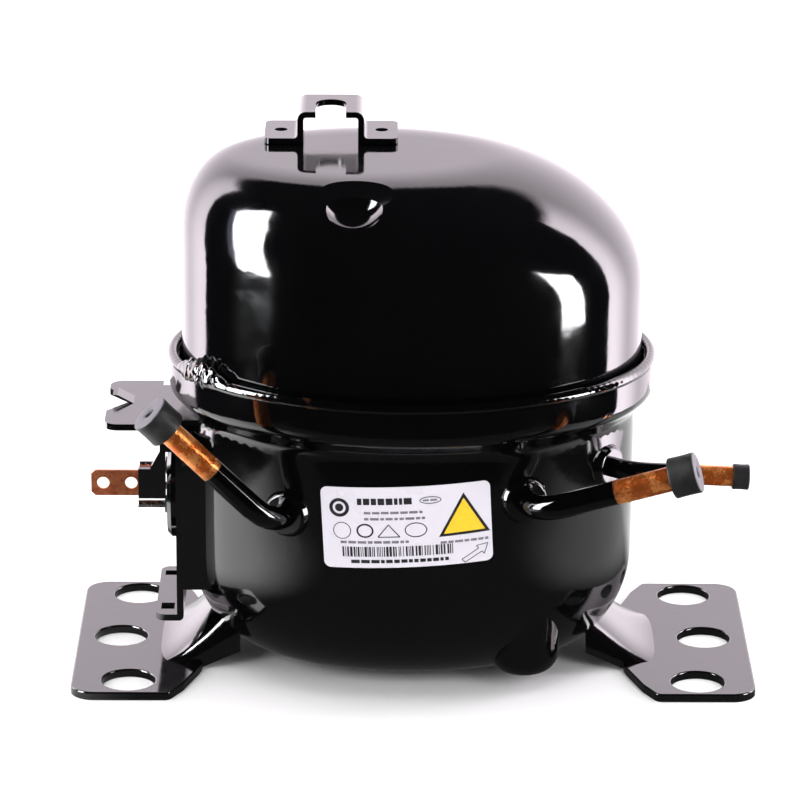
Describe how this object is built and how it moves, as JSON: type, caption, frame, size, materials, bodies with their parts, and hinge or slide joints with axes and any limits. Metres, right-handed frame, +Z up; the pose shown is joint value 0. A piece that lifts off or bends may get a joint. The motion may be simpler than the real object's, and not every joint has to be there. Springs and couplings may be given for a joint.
{
  "type": "hermetic reciprocating compressor",
  "caption": "Welded-shell hermetic refrigeration compressor on two drilled feet, with capped stub tubes, terminals and a spring-hung motor-driven piston pump inside.",
  "frame": {"origin": "centre of the 170 x 70 mm foot-hole pattern, on the underside of the feet", "axes": "+X towards the suction stub side, +Y to the back, +Z up along the crankshaft"},
  "size_m": [0.204, 0.1222, 0.1662],
  "materials": {
    "black_paint": "gloss black paint",
    "weld": "painted weld bead with bright specks",
    "copper": "copper tube, painted black next to the shell",
    "tab_copper": "copper-plated blade",
    "plug_rubber": "matt black rubber",
    "label": "printed film label",
    "pins": "plain steel",
    "glass_bead": "fused glass",
    "lamination": "stacked electrical steel",
    "winding": "enamelled copper wire",
    "insulation": "natural moulded plastic",
    "cast_block": "machined grey iron",
    "cage_metal": "cast aluminium",
    "shaft_steel": "ground steel",
    "cage_plastic": "nylon",
    "reed_steel": "polished valve steel",
    "gasket": "gasket sheet",
    "spring_steel": "spring steel",
    "loop_steel": "copper-plated steel tube",
    "wire_insulation": "sleeved wire"
  },
  "bodies": {
    "shell": {"upper_shell": "black_paint", "lower_shell": "black_paint", "weld_seam": "weld", "top_bracket": "black_paint", "foot_left": "black_paint", "foot_right": "black_paint", "terminal_fence": "black_paint", "upper_clip_plate": "black_paint", "hermetic_terminal": "black_paint", "terminal_pins": "pins", "terminal_glass": "glass_bead", "earth_tab": "tab_copper", "earth_bracket": "black_paint", "suction_tube": "copper", "process_tube": "copper", "discharge_tube": "copper", "tube_collars": "black_paint", "rating_label": "label", "lower_spring_seats": "insulation", "inner_connector": "insulation"},
    "pump_unit": {"stator_core": "lamination", "stator_windings": "winding", "end_insulators": "insulation", "stator_bolts": "shaft_steel", "cylinder_block": "cast_block", "lower_race": "shaft_steel", "plate_gasket": "gasket", "valve_plate": "shaft_steel", "head_gasket": "gasket", "reed_stop": "shaft_steel", "cylinder_head": "cage_metal", "head_bolts": "shaft_steel", "suction_muffler": "insulation", "discharge_cap": "cage_metal", "discharge_loop": "loop_steel", "suspension_springs": "spring_steel", "upper_spring_seats": "insulation", "lead_wires": "wire_insulation"},
    "crank": {"crankshaft": "shaft_steel", "rotor_core": "lamination", "rotor_cage": "cage_metal", "oil_pickup": "shaft_steel", "upper_race": "shaft_steel"},
    "slide_block": {"slide_block": "shaft_steel"},
    "yoke_plug": {"yoke_oil_plug": "shaft_steel"},
    "piston_assembly": {"piston": "cast_block", "slide_tube": "shaft_steel"},
    "ball_ring": {"ball_cage": "cage_plastic", "thrust_balls": "shaft_steel"},
    "suction_reed": {"suction_reed": "reed_steel"},
    "discharge_reed": {"discharge_reed": "reed_steel"},
    "suction_plug": {"suction_plug": "plug_rubber"},
    "process_plug": {"process_plug": "plug_rubber"},
    "discharge_plug": {"discharge_plug": "plug_rubber"}
  },
  "joints": [
    {"name": "pump_bounce", "type": "slide", "parent": "shell", "child": "pump_unit", "axis": [0, 0, 1], "range_m": [-0.002, 0.002], "stiffness_N_per_m": 30000, "deforming": ["suspension_springs", "discharge_loop", "lead_wires"]},
    {"name": "crank_spin", "type": "hinge", "parent": "pump_unit", "child": "crank", "pos_m": [-0.01, 0, 0.093], "axis": [0, 0, 1], "continuous": true},
    {"name": "slide_block_turn", "type": "hinge", "parent": "crank", "child": "slide_block", "pos_m": [-0.01, 0.009, 0.112], "axis": [0, 0, 1], "continuous": true},
    {"name": "yoke_carrier_turn", "type": "hinge", "parent": "crank", "child": "yoke_plug", "pos_m": [-0.01, 0.0045, 0.1255], "axis": [0, 0, 1], "continuous": true},
    {"name": "piston_stroke", "type": "hinge", "parent": "yoke_plug", "child": "piston_assembly", "pos_m": [-0.01, 0, 0.112], "axis": [0, 0, 1], "continuous": true},
    {"name": "ball_ring_turn", "type": "hinge", "parent": "pump_unit", "child": "ball_ring", "pos_m": [-0.01, 0, 0.0905], "axis": [0, 0, 1], "continuous": true},
    {"name": "suction_reed_flex", "type": "hinge", "parent": "pump_unit", "child": "suction_reed", "pos_m": [0.0389, -0.006, 0.1205], "axis": [0, 1, 0], "range_deg": [0, 4], "stiffness_Nm_per_rad": 0.002},
    {"name": "discharge_reed_flex", "type": "hinge", "parent": "pump_unit", "child": "discharge_reed", "pos_m": [0.0421, 0.006, 0.1205], "axis": [0, -1, 0], "range_deg": [0, 4], "stiffness_Nm_per_rad": 0.002},
    {"name": "suction_plug_pull", "type": "slide", "parent": "shell", "child": "suction_plug", "axis": [0.9384, -0.147, 0.3128], "range_m": [0, 0.06]},
    {"name": "process_plug_pull", "type": "slide", "parent": "shell", "child": "process_plug", "axis": [-0.6826, -0.1254, 0.7199], "range_m": [0, 0.06]},
    {"name": "discharge_plug_pull", "type": "slide", "parent": "shell", "child": "discharge_plug", "axis": [0.9986, 0.011, -0.052], "range_m": [0, 0.06]}
  ],
  "couplings": [
    {"joint": "slide_block_turn", "follows": "crank_spin", "ratio": -1},
    {"joint": "yoke_carrier_turn", "follows": "crank_spin", "ratio": -2},
    {"joint": "piston_stroke", "follows": "crank_spin", "ratio": 1},
    {"joint": "ball_ring_turn", "follows": "crank_spin", "ratio": 0.5}
  ]
}
